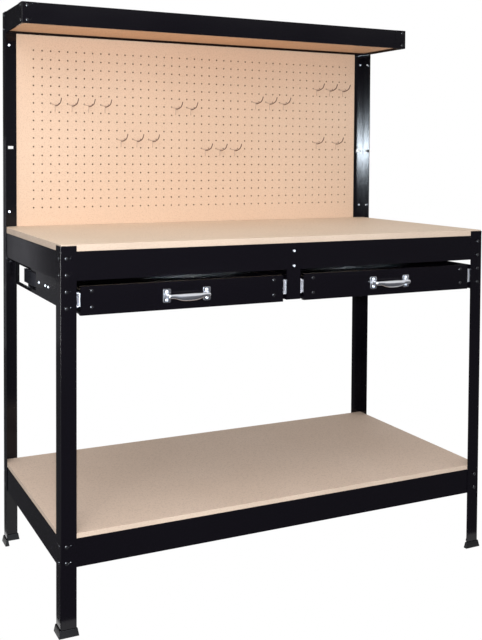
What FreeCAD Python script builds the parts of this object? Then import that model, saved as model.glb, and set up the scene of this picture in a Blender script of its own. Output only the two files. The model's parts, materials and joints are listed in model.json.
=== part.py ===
import FreeCAD, Part
import math
import os
import re

import Sketcher

# Workbench with pegboard: an angle-steel frame held by keyhole rivets, a worktop, a lower shelf,
# a pegboard between two tall rear posts, a shallow upper shelf and two drawers on ball slides.
# X runs left to right, Y front to back, Z up. The origin is on the floor, under the middle of the
# object's box. All sizes are in millimetres.

doc = FreeCAD.newDocument("workbench_with_pegboard")

# Driving sizes

SIZES = {
    # Frame
    "bench_width": 1210,
    "bench_depth": 604,
    "leg_top": 900,
    "post_top": 1504,
    "leg_flange": 38,
    "leg_wall": 1.5,
    "seat_gap": 0.3,
    # Foot caps
    "foot_rise": 17,
    "foot_flare": 5,
    "foot_neck": 2,
    "foot_sole": 3,
    "foot_fit": 0.15,
    # Angle rails under the worktop and the lower shelf
    "rail_rise": 67,
    "rail_wall": 1.2,
    "rail_lip": 18,
    "table_rail_top": 887,
    "lower_rail_top": 225,
    "worktop_thick": 16,
    "lower_shelf_thick": 12,
    # Keyholes in the legs, and the rivets that hang in them
    "keyhole_inset": 14,
    "keyhole_drop": 16,
    "keyhole_pitch": 38,
    "keyhole_run": 8,
    "keyhole_climb": 4,
    "keyhole_eye": 3.2,
    "rivet_radius": 2.5,
    "stud_fit": 0.1,
    "rivet_head_radius": 4.5,
    "rivet_head_rise": 2,
    "head_crown": 0.6,
    # Post slots and small side holes
    "slot_middle": 1127,
    "slot_inset": 14,
    "slot_width": 15,
    "slot_rise": 8,
    "side_hole_radius": 3,
    "side_hole_inset": 19,
    # Drawer supports, hung between the legs
    "support_wall": 1.2,
    "support_plate": 372,
    "support_tail": 40,
    "support_sill": 10,
    "support_head": 8,
    # Middle channel between the drawers
    "channel_width": 40,
    "channel_wall": 1.5,
    "channel_bottom": 743,
    "channel_bolt_top": 867,
    "channel_bolt_pitch": 38,
    "bolt_radius": 3,
    "bolt_head_radius": 5.5,
    "bolt_head_rise": 3,
    "nut_radius": 5.5,
    "nut_rise": 4,
    # Three-part ball slides
    "slide_rise": 37,
    "slide_thick": 10.5,
    "slide_wall": 1.2,
    "slide_fit": 0.25,
    "slide_throat": 2.5,
    "slide_length": 500,
    "slide_setback": 8,
    "slide_lift": 36,
    "screw_radius": 2,
    "screw_head_radius": 4,
    "screw_head_rise": 1.6,
    "slide_screw_front": 244,
    "slide_screw_second": 273,
    "slide_screw_rear": 338,
    # Drawers
    "drawer_bottom": 739,
    "drawer_rise": 67,
    "front_wall": 1.2,
    "front_fold": 14,
    "box_wall": 1,
    "box_rise": 58,
    "box_length": 506,
    "box_hem": 8,
    "box_screw_front": 70,
    "box_screw_rear": 420,
    "front_rivet_inset": 26.575,
    "front_rivet_middle": 776,
    # Drawer handles
    "handle_width": 124,
    "handle_reach": 26,
    "plate_width": 20,
    "plate_rise": 33,
    "plate_wall": 1.5,
    "plate_screw_pitch": 20,
    "neck_radius": 4,
    "neck_bend": 12,
    "grip_radius": 7.5,
    # Pegboard
    "peg_thick": 4,
    "peg_inset": 31,
    "peg_bottom": 897,
    "peg_top": 1457,
    "peg_pitch": 25,
    "peg_first_column": 87,
    "peg_first_row": 955,
    "peg_margin_side": 60,
    "peg_margin_top": 50,
    "peg_hole_radius": 2.5,
    "peg_rail_rise": 15,
    "peg_rail_wall": 1.2,
    "peg_rail_low": 945,
    "peg_rail_high": 1415,
    "peg_bolt_inset": 17,
    # Wire hooks
    "hook_wire": 3,
    "hook_reach": 34,
    # Upper shelf
    "shelf_depth": 233,
    "shelf_rise": 56,
    "shelf_return": 5,
    "shelf_ledge": 7,
    "shelf_board_thick": 9,
    "shelf_keyhole_drop": 9,
}

# Places that follow from the driving sizes. Each may use the ones above it.

PLACES = {
    "half_width": "bench_width / 2",
    "peg_back": "peg_thick + peg_rail_wall",
    "front_plane": "-(bench_depth + leg_wall - handle_reach + peg_back) / 2",
    "rear_plane": "front_plane + bench_depth",
    "drawer_face": "front_plane + leg_wall",
    "rail_back": "leg_wall + rail_wall",
    "board_half_width": "half_width - leg_wall - seat_gap",
    "board_depth": "bench_depth - 2 * leg_wall - 2 * seat_gap",
    "support_inset": "leg_flange + seat_gap - slide_wall - slide_fit - support_wall",
    "support_face": "half_width - support_inset - support_wall",
    "slide_middle_height": "drawer_bottom + slide_lift",
    "drawer_span": "support_face - channel_width / 2 - 2 * slide_thick",
    "drawer_middle": "(support_face + channel_width / 2) / 2",
    "shelf_bottom": "post_top - shelf_rise",
    "shelf_front": "rear_plane - shelf_depth",
    "handle_middle": "drawer_bottom + drawer_rise / 2",
    "grip_half": "handle_width / 2 - plate_width / 2 - neck_bend",
}


def fill_sheet(name, rows):
    sheet = doc.addObject("Spreadsheet::Sheet", name)
    for row, (word, content) in enumerate(rows.items(), start=1):
        sheet.set(f"A{row}", word)
        sheet.set(f"B{row}", content)
        sheet.setAlias(f"B{row}", word)
    doc.recompute()
    return sheet


def bound(text):
    """The text with each size and place written as its sheet's cell."""

    def cell(found):
        word = found.group(0)
        if word in SIZES:
            return f"Sizes.{word}"
        if word in PLACES:
            return f"Places.{word}"
        return word

    return re.sub(r"[a-z]+(?:_[a-z]+)*", cell, text)


sizes = fill_sheet("Sizes", {word: str(number) for word, number in SIZES.items()})
places = fill_sheet("Places", {word: "=" + bound(text).replace("Places.", "")
                               for word, text in PLACES.items()})


def size(word):
    """One size or place, as a number."""
    return float(sizes.get(word) if word in SIZES else places.get(word))


def link(item, setting, text):
    item.setExpression(setting, bound(text))


# Helpers for padded and pocketed bodies

NODES = {}
CUTS = []


def new_body(label, x, y, z):
    """A body whose own origin lies at the place given by three texts."""
    body = doc.addObject("PartDesign::Body", label)
    link(body, "Placement.Base.x", x)
    link(body, "Placement.Base.y", y)
    link(body, "Placement.Base.z", z)
    NODES[label] = body
    return body


def outlines(body, plane_role, loops, offset="0"):
    """A sketch of closed outlines on one of the body's origin planes.

    Each outline is a list of corners, and each corner two texts bound to the sheet.
    """
    drawing = body.newObject("Sketcher::SketchObject", body.Label + "_sketch")
    plane = next(part for part in body.Origin.OriginFeatures if part.Role == plane_role)
    drawing.AttachmentSupport = [(plane, "")]
    drawing.MapMode = "FlatFace"
    link(drawing, "AttachmentOffset.Base.z", offset)
    for corners in loops:
        first = drawing.GeometryCount
        count = len(corners)
        for step in range(count):
            start = 2 * math.pi * step / count
            end = 2 * math.pi * (step + 1) / count
            drawing.addGeometry(Part.LineSegment(
                FreeCAD.Vector(math.cos(start), math.sin(start), 0),
                FreeCAD.Vector(math.cos(end), math.sin(end), 0)), False)
        for step in range(count):
            drawing.addConstraint(Sketcher.Constraint(
                "Coincident", first + step, 2, first + (step + 1) % count, 1))
        for step, corner in enumerate(corners):
            for direction, text in zip(("DistanceX", "DistanceY"), corner):
                rule = drawing.addConstraint(Sketcher.Constraint(
                    direction, -1, 1, first + step, 1, 1.0))
                link(drawing, f"Constraints[{rule}]", text)
    return drawing


def pad(body, drawing, length, backwards=False):
    feature = body.newObject("PartDesign::Pad", body.Label + "_pad")
    feature.Profile = drawing
    link(feature, "Length", length)
    feature.Reversed = backwards
    return feature


def pocket(body, drawing, length, backwards=False, both_ways=False):
    feature = body.newObject("PartDesign::Pocket", body.Label + "_pocket")
    feature.Profile = drawing
    link(feature, "Length", length)
    feature.Reversed = backwards
    if both_ways:
        feature.SideType = "Symmetric"
    CUTS.append(feature)
    return feature


def rectangle(left, low, right, high):
    return [(left, low), (right, low), (right, high), (left, high)]


def channel(side, reach, rise, wall):
    """A C section: its back stands at 0, its two flanges reach towards side."""
    return [("0", "0"), (f"{side} * ({reach})", "0"), (f"{side} * ({reach})", wall),
            (f"{side} * ({wall})", wall), (f"{side} * ({wall})", f"{rise} - {wall}"),
            (f"{side} * ({reach})", f"{rise} - {wall}"), (f"{side} * ({reach})", rise),
            ("0", rise)]


# Helpers for studs and the holes that they pass through

def spot(axis, across, along, level):
    """The point at two in-plane coordinates and one level along the axis."""
    if axis == "X":
        return FreeCAD.Vector(level, across, along)
    return FreeCAD.Vector(across, level, along)


def ring(across, along, radius, sides):
    return [(across + radius * math.cos(2 * math.pi * (step + 0.5) / sides),
             along + radius * math.sin(2 * math.pi * (step + 0.5) / sides))
            for step in range(sides)]


def closed_wire(axis, corners, level):
    points = [spot(axis, across, along, level) for across, along in corners]
    return Part.makePolygon(points + points[:1])


def prism(axis, corners, low, high):
    """The outline, pulled along the axis from one level to the other."""
    reach = spot(axis, 0, 0, high - low)
    return Part.Face(closed_wire(axis, corners, low)).extrude(reach)


def stacked(rings):
    """A solid with flat faces through a row of alike rings of corners, closed at both ends."""
    faces = [Part.Face(Part.makePolygon(corners + corners[:1])) for corners in (rings[0], rings[-1])]
    for lower, upper in zip(rings, rings[1:]):
        count = len(lower)
        for step in range(count):
            after = (step + 1) % count
            edge = [lower[step], lower[after], upper[after], upper[step], lower[step]]
            faces.append(Part.Face(Part.makePolygon(edge)))
    solid = Part.Solid(Part.Shell(faces))
    if solid.Volume < 0:
        solid.reverse()
    return solid


def stud(axis, across, along, tip, seat, crown, radius, head_radius, sides=6):
    """A shank from its tip to its seat, with a crowned head beyond the seat."""
    shank = prism(axis, ring(across, along, radius, 4), tip, seat)
    head = [[spot(axis, *corner, level) for corner in ring(across, along, reach, sides)]
            for level, reach in ((seat, head_radius), (crown, head_radius * size("head_crown")))]
    return shank.fuse(stacked(head))


def stud_hole(axis, across, along, radius, low, high):
    return prism(axis, ring(across, along, radius + size("stud_fit"), 4), low, high)


def wire(points, radius, sides):
    """A wire of straight runs with mitred corners through the points."""
    path = Part.makePolygon(points)
    turned = FreeCAD.Rotation(FreeCAD.Vector(0, 0, 1), points[1] - points[0])
    corners = [points[0] + turned.multVec(FreeCAD.Vector(across, up, 0))
               for across, up in ring(0, 0, radius, sides)]
    section = Part.makePolygon(corners + corners[:1])
    return path.makePipeShell([section], True, False, 1)


def hull(points):
    """The convex outline round some points, taken round once."""

    def half(ordered):
        chain = []
        for point in ordered:
            while len(chain) > 1:
                (ax, ay), (bx, by) = chain[-2], chain[-1]
                if (bx - ax) * (point[1] - ay) - (by - ay) * (point[0] - ax) > 1e-9:
                    break
                chain.pop()
            chain.append(point)
        return chain[:-1]

    ordered = sorted(points)
    return half(ordered) + half(ordered[::-1])


def keyhole(axis, across, along, inward, low, high):
    """A slanted keyhole: a narrow end for the shank and an eye up and inward from it."""
    narrow = ring(across, along, size("rivet_radius") + size("stud_fit"), 4)
    eye = ring(across + inward * size("keyhole_run"), along + size("keyhole_climb"),
               size("keyhole_eye"), 6)
    return prism(axis, hull(narrow + eye), low, high)


def solids_node(label, shapes):
    """A node of separate like solids."""
    node = doc.addObject("Part::Feature", label)
    node.Shape = Part.Compound(shapes)
    NODES[label] = node


def drilled(label, holes):
    """The node under this label, with holes cut through it."""
    form = NODES[label]
    form.Label = label + "_form"
    tool = doc.addObject("Part::Feature", label + "_holes")
    tool.Shape = Part.Compound(holes)
    cut = doc.addObject("Part::Cut", label)
    cut.Base = form
    cut.Tool = tool
    cut.Label = label
    NODES[label] = cut


# The frame's outer faces: X of the left and right ones, Y of the front and rear ones
LEFT = -size("half_width")
RIGHT = size("half_width")
FRONT = size("front_plane")
REAR = size("rear_plane")
SHELF_FRONT = size("shelf_front")

# Heights of the rivets at each level
top_rivet = size("table_rail_top") - size("keyhole_drop")
table_levels = [top_rivet, top_rivet - size("keyhole_pitch")]
support_levels = [top_rivet - 2 * size("keyhole_pitch"), top_rivet - 3 * size("keyhole_pitch")]
lower_rivet = size("lower_rail_top") - size("keyhole_drop")
lower_levels = [lower_rivet, lower_rivet - size("keyhole_pitch")]
shelf_rivet = size("post_top") - size("shelf_keyhole_drop")
shelf_levels = [shelf_rivet, shelf_rivet - size("keyhole_pitch")]


def angle(right_sign, back_sign):
    """An L section with its outer corner at 0."""
    return [("0", "0"), (f"{right_sign} * leg_flange", "0"),
            (f"{right_sign} * leg_flange", f"{back_sign} * leg_wall"),
            (f"{right_sign} * leg_wall", f"{back_sign} * leg_wall"),
            (f"{right_sign} * leg_wall", f"{back_sign} * leg_flange"),
            ("0", f"{back_sign} * leg_flange")]


def wide_angle(right_sign, back_sign, grow):
    """The same L section, grown by an amount all round."""
    near = f"-({grow})"
    far = f"(leg_flange + {grow})"
    root = f"(leg_wall + {grow})"
    corners = [(near, near), (far, near), (far, root), (root, root), (root, far), (near, far)]
    return [(f"{right_sign} * {across}", f"{back_sign} * {along}") for across, along in corners]


def flange_rivets(outer_x, inward_x, outer_y, inward_y, faces):
    """Keyholes and rivets in the two flanges of one upright angle.

    Faces holds, for each flange, the heights of its rivets.
    """
    wall = size("leg_wall")
    inset = size("keyhole_inset")
    rise = size("rivet_head_rise")
    radius = size("rivet_radius")
    head = size("rivet_head_radius")
    holes = []
    rivets = []
    for height in faces["front_or_rear"]:
        across = outer_x + inward_x * inset
        holes.append(keyhole("Y", across, height, inward_x, outer_y, outer_y + inward_y * wall))
        rivets.append(stud("Y", across, height, outer_y + inward_y * wall, outer_y,
                           outer_y - inward_y * rise, radius, head))
    for height in faces["side"]:
        across = outer_y + inward_y * inset
        holes.append(keyhole("X", across, height, inward_y, outer_x, outer_x + inward_x * wall))
        rivets.append(stud("X", across, height, outer_x + inward_x * wall, outer_x,
                           outer_x - inward_x * rise, radius, head))
    return holes, rivets


def through(axis, corners, outer, inward):
    """A cutter through one flange of an upright angle."""
    return prism(axis, corners, outer, outer + inward * size("leg_wall"))


# Legs, rear posts and foot caps

def post_extras(outer_x, inward_x, outer_y, inward_y):
    """The long slot, the bolt holes and the small side holes of a rear post."""
    middle = size("slot_middle")
    half = size("slot_rise") / 2
    near = outer_x + inward_x * size("slot_inset")
    far = near + inward_x * size("slot_width")
    slot = [(near, middle - half), (far, middle - half), (far, middle + half),
            (near, middle + half)]
    holes = [through("Y", slot, outer_y, inward_y)]
    bolt_heights = [size("peg_rail_low"), size("peg_rail_high")]
    for height in bolt_heights:
        across = outer_x + inward_x * size("peg_bolt_inset")
        holes.append(stud_hole("Y", across, height, size("bolt_radius"), outer_y,
                               outer_y + inward_y * size("leg_wall")))
    for height in bolt_heights + [middle]:
        across = outer_y + inward_y * size("side_hole_inset")
        holes.append(through("X", ring(across, height, size("side_hole_radius"), 6),
                             outer_x, inward_x))
    return holes


rivet_groups = {"table": [], "lower": [], "shelf": []}


def upright(end, side, right_sign, back_sign, plane_x, plane_y, outer_x, outer_y, top, levels):
    """One leg or rear post with its foot cap and its keyholes."""
    name = f"{end}_{'leg' if end == 'front' else 'post'}_{side}"
    body = new_body(name, plane_x, plane_y, "foot_sole")
    pad(body, outlines(body, "XY_Plane", [angle(right_sign, back_sign)]), f"{top} - foot_sole")
    holes = []
    for group, faces in levels.items():
        new_holes, rivets = flange_rivets(outer_x, right_sign, outer_y, back_sign, faces)
        holes.extend(new_holes)
        rivet_groups[group].extend(rivets)
    if end == "rear":
        holes.extend(post_extras(outer_x, right_sign, outer_y, back_sign))
    drilled(name, holes)

    cap = new_body(f"foot_{end}_{side}", plane_x, plane_y, "0")
    flared = outlines(cap, "XY_Plane", [wide_angle(right_sign, back_sign, "foot_flare")])
    boot = pad(cap, flared, "foot_rise")
    link(boot, "TaperAngle", "-atan((foot_flare - foot_neck) / foot_rise)")
    socket = outlines(cap, "XY_Plane", [wide_angle(right_sign, back_sign, "foot_fit")],
                      "foot_sole")
    pocket(cap, socket, "foot_rise", backwards=True)


front_levels = {
    "table": {"front_or_rear": table_levels + support_levels, "side": table_levels},
    "lower": {"front_or_rear": lower_levels, "side": lower_levels},
}
rear_levels = dict(front_levels, shelf={"front_or_rear": shelf_levels, "side": shelf_levels})

for side, right_sign, plane_x, outer_x in (("left", 1, "-half_width", LEFT),
                                           ("right", -1, "half_width", RIGHT)):
    upright("front", side, right_sign, 1, plane_x, "front_plane", outer_x, FRONT, "leg_top",
            front_levels)
    upright("rear", side, right_sign, -1, plane_x, "rear_plane", outer_x, REAR, "post_top",
            rear_levels)


# Angle rails: a tall web with a lip along its top that a board rests on

def lipped_angle(side):
    """A web at 0 with a lip at its top that reaches towards side."""
    return [("0", "0"), (f"{side} * rail_wall", "0"),
            (f"{side} * rail_wall", "rail_rise - rail_wall"),
            (f"{side} * rail_lip", "rail_rise - rail_wall"),
            (f"{side} * rail_lip", "rail_rise"), ("0", "rail_rise")]


# The names of the pieces that run along X. The others run along Y.
LONG_PIECES = []


def cut_ends(body, length, side, end_cut, lip, rise):
    """Cut a lip back at both ends, so that it clears the piece that it meets there.

    Side is 1 where the lip points the way of its axis, and -1 where it points back.
    """
    near = f"{side} * rail_wall"
    far = f"{side} * ({lip} + seat_gap)"
    spans = (("-2 * seat_gap", end_cut), (f"{length} - {end_cut}", f"{length} + 2 * seat_gap"))
    if body.Label in LONG_PIECES:
        loops = [rectangle(start, near, end, far) for start, end in spans]
    else:
        loops = [rectangle(near, start, far, end) for start, end in spans]
    pocket(body, outlines(body, "XY_Plane", loops), f"2 * {rise} + 2", both_ways=True)


inside_width = "(bench_width - 2 * leg_wall - 2 * seat_gap)"


def long_rail(name, plane_y, side, top):
    body = new_body(name, "-half_width + leg_wall + seat_gap", plane_y, f"{top} - rail_rise")
    LONG_PIECES.append(name)
    pad(body, outlines(body, "YZ_Plane", [lipped_angle(side)]), inside_width)
    cut_ends(body, inside_width, side, "rail_wall", "rail_lip", "rail_rise")


def end_rail(name, plane_x, side, top):
    """A rail between the front and rear rails, with its lip cut back at both ends."""
    length = "(bench_depth - 2 * rail_back - 2 * seat_gap)"
    body = new_body(name, plane_x, "front_plane + rail_back + seat_gap", f"{top} - rail_rise")
    drawing = outlines(body, "XZ_Plane", [lipped_angle(side)])
    pad(body, drawing, length, backwards=True)
    cut_ends(body, length, side, "(rail_lip - rail_wall)", "rail_lip", "rail_rise")


for level, top in (("table", "table_rail_top"), ("lower", "lower_rail_top")):
    long_rail(f"{level}_rail_front", "front_plane + leg_wall", 1, top)
    long_rail(f"{level}_rail_rear", "rear_plane - leg_wall", -1, top)
    end_rail(f"{level}_rail_left", "-half_width + leg_wall", 1, top)
    end_rail(f"{level}_rail_right", "half_width - leg_wall", -1, top)


# Boards that lie inside the legs on the rails' lips

def board(name, z, thick, half_width, y, depth):
    body = new_body(name, "0", y, z)
    pad(body, outlines(body, "XY_Plane", [rectangle(f"-({half_width})", "0", half_width, depth)]),
        thick)


board("worktop", "table_rail_top", "worktop_thick", "board_half_width",
      "front_plane + leg_wall + seat_gap", "board_depth")
board("lower_shelf", "lower_rail_top", "lower_shelf_thick", "board_half_width",
      "front_plane + leg_wall + seat_gap", "board_depth")


# Upper shelf: beams with an upturned return along the bottom, which the board rests on

def hooked_web(side):
    return [("0", "0"), (f"{side} * shelf_return", "0"), (f"{side} * shelf_return", "shelf_ledge"),
            (f"{side} * (shelf_return - rail_wall)", "shelf_ledge"),
            (f"{side} * (shelf_return - rail_wall)", "rail_wall"),
            (f"{side} * rail_wall", "rail_wall"), (f"{side} * rail_wall", "shelf_rise"),
            ("0", "shelf_rise")]


def long_beam(name, plane_y, side):
    body = new_body(name, "-half_width + leg_wall + seat_gap", plane_y, "shelf_bottom")
    LONG_PIECES.append(name)
    pad(body, outlines(body, "YZ_Plane", [hooked_web(side)]), inside_width)
    cut_ends(body, inside_width, side, "rail_wall", "shelf_return", "shelf_rise")


def end_beam(name, plane_x, side):
    length = "(shelf_depth - 2 * rail_back - 2 * seat_gap)"
    body = new_body(name, plane_x, "shelf_front + rail_back + seat_gap", "shelf_bottom")
    drawing = outlines(body, "XZ_Plane", [hooked_web(side)])
    pad(body, drawing, length, backwards=True)
    cut_ends(body, length, side, "(shelf_return - rail_wall)", "shelf_return", "shelf_rise")


long_beam("upper_shelf_front", "shelf_front + leg_wall", 1)
long_beam("upper_shelf_rear", "rear_plane - leg_wall", -1)
end_beam("upper_shelf_left", "-half_width + leg_wall", 1)
end_beam("upper_shelf_right", "half_width - leg_wall", -1)
board("upper_shelf_board", "shelf_bottom + shelf_ledge", "shelf_board_thick",
      "half_width - rail_back - seat_gap", "shelf_front + rail_back + seat_gap",
      "shelf_depth - 2 * rail_back - 2 * seat_gap")

for side, right_sign, plane_x, outer_x in (("left", 1, "-half_width", LEFT),
                                           ("right", -1, "half_width", RIGHT)):
    name = f"upper_shelf_corner_{side}"
    corner = new_body(name, plane_x, "shelf_front", "shelf_bottom")
    pad(corner, outlines(corner, "XY_Plane", [angle(right_sign, 1)]), "shelf_rise")
    corner_holes, corner_rivets = flange_rivets(
        outer_x, right_sign, SHELF_FRONT, 1,
        {"front_or_rear": shelf_levels, "side": shelf_levels})
    drilled(name, corner_holes)
    rivet_groups["shelf"].extend(corner_rivets)

for group, rivets in rivet_groups.items():
    solids_node(f"{group}_rivets", rivets)


# Drawer supports: a web between the legs with a tab at each end and a long window at its rear

support_holes = {"left": [], "right": []}
slide_screws = []

for side, right_sign, plane_x in (("left", 1, "-half_width"), ("right", -1, "half_width")):
    near = f"{right_sign} * (leg_wall + seat_gap)"
    outside = f"{right_sign} * support_inset"
    inside = f"{right_sign} * (support_inset + support_wall)"
    body = new_body(f"drawer_support_{side}", plane_x, "front_plane", "drawer_bottom")
    plan = [(near, "leg_wall"), (inside, "leg_wall"), (inside, "bench_depth - leg_wall"),
            (near, "bench_depth - leg_wall"), (near, "bench_depth - leg_wall - support_wall"),
            (outside, "bench_depth - leg_wall - support_wall"),
            (outside, "leg_wall + support_wall"), (near, "leg_wall + support_wall")]
    pad(body, outlines(body, "XY_Plane", [plan]), "drawer_rise")
    window = rectangle("support_plate", "support_sill", "bench_depth - support_tail",
                       "drawer_rise - support_head")
    pocket(body, outlines(body, "YZ_Plane", [window]), "3 * support_inset", both_ways=True)

# Middle channel: a trough between the front and rear rails, with a bolted plate at each end

trough_length = "(bench_depth - 2 * rail_back)"
trough = new_body("middle_channel", "0", "front_plane + rail_back", "channel_bottom")
half = "channel_width / 2"
trough_rise = "(drawer_bottom + drawer_rise - channel_bottom)"
trough_section = [(f"-{half}", "0"), (half, "0"), (half, trough_rise),
                  (f"{half} - channel_wall", trough_rise), (f"{half} - channel_wall", "channel_wall"),
                  (f"-{half} + channel_wall", "channel_wall"),
                  (f"-{half} + channel_wall", trough_rise), (f"-{half}", trough_rise)]
pad(trough, outlines(trough, "XZ_Plane", [trough_section]), trough_length, backwards=True)
plate = rectangle(f"-{half}", "0", half, "table_rail_top - rail_wall - seat_gap - channel_bottom")
pad(trough, outlines(trough, "XZ_Plane", [plate]), "channel_wall", backwards=True)
pad(trough, outlines(trough, "XZ_Plane", [plate], f"-{trough_length}"), "channel_wall")

bolt_levels = [size("channel_bolt_top"), size("channel_bolt_top") - size("channel_bolt_pitch")]
channel_bolts = []
channel_holes = []
rail_bolt_holes = {"front": [], "rear": []}
for end, outer_y, inward in (("front", FRONT, 1), ("rear", REAR, -1)):
    face = outer_y + inward * size("leg_wall")
    back = face + inward * (size("rail_wall") + size("channel_wall"))
    for level in bolt_levels:
        bolt = stud("Y", 0, level, back, face, face - inward * size("bolt_head_rise"),
                    size("bolt_radius"), size("bolt_head_radius"))
        nut = prism("Y", ring(0, level, size("nut_radius"), 6), back,
                    back + inward * size("nut_rise"))
        channel_bolts.append(bolt.fuse(nut))
        rail_bolt_holes[end].append(stud_hole("Y", 0, level, size("bolt_radius"), face, back))
        channel_holes.append(stud_hole("Y", 0, level, size("bolt_radius"), face, back))
drilled("table_rail_front", rail_bolt_holes["front"])
drilled("table_rail_rear", rail_bolt_holes["rear"])
solids_node("middle_channel_bolts", channel_bolts)


# Ball slides: three nested C sections. The outer one is fixed, the inner one is on the drawer.

def slide_part(name, x, side, start, reach, half_rise, back_first):
    """One member of a slide, drawn as a C whose back is at start and whose flanges end at reach."""
    body = new_body(name, x, "front_plane + slide_setback", "slide_middle_height")
    back = f"{side} * ({start})"
    web = f"{side} * ({start} {'+' if back_first else '-'} slide_wall)"
    tip = f"{side} * ({reach})"
    inner = f"({half_rise} - slide_wall)"
    section = [(back, f"-({half_rise})"), (tip, f"-({half_rise})"), (tip, f"-{inner}"),
               (web, f"-{inner}"), (web, inner), (tip, inner), (tip, half_rise),
               (back, half_rise)]
    pad(body, outlines(body, "XZ_Plane", [section]), "slide_length", backwards=True)


def handle_bow(middle_x):
    """The handle's bow: at each end a neck and a quarter bend, and a grip that swells between."""
    face = size("drawer_face")
    neck = size("neck_radius")
    bend = size("neck_bend")
    line = face - size("handle_reach") + size("grip_radius")
    turn_x = size("grip_half")
    height = size("handle_middle")
    swell = [(-turn_x, neck), (-turn_x / 2, 0.3 * neck + 0.7 * size("grip_radius")),
             (0, size("grip_radius")), (turn_x / 2, 0.3 * neck + 0.7 * size("grip_radius")),
             (turn_x, neck)]
    rings = [[FreeCAD.Vector(middle_x + x, line + across, height + up)
              for across, up in ring(0, 0, radius, 8)] for x, radius in swell]
    bow = stacked(rings)
    for side_sign in (-1, 1):
        path = [FreeCAD.Vector(middle_x + side_sign * (turn_x + bend), face, height)]
        for step in range(4):
            turned = math.pi / 2 * step / 3
            path.append(FreeCAD.Vector(
                middle_x + side_sign * (turn_x + bend * math.cos(turned)),
                line + bend - bend * math.sin(turned), height))
        path.append(FreeCAD.Vector(middle_x + side_sign * (turn_x - 1), line, height))
        bow = bow.fuse(wire(path, neck, 8))
    return bow


screw_places = [FRONT + size(word) for word in
                ("slide_screw_front", "slide_screw_second", "slide_screw_rear")]
box_screw_places = [FRONT + size(word) for word in ("box_screw_front", "box_screw_rear")]
screw_sizes = (size("screw_radius"), size("screw_head_radius"))
slide_height = size("slide_middle_height")

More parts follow.
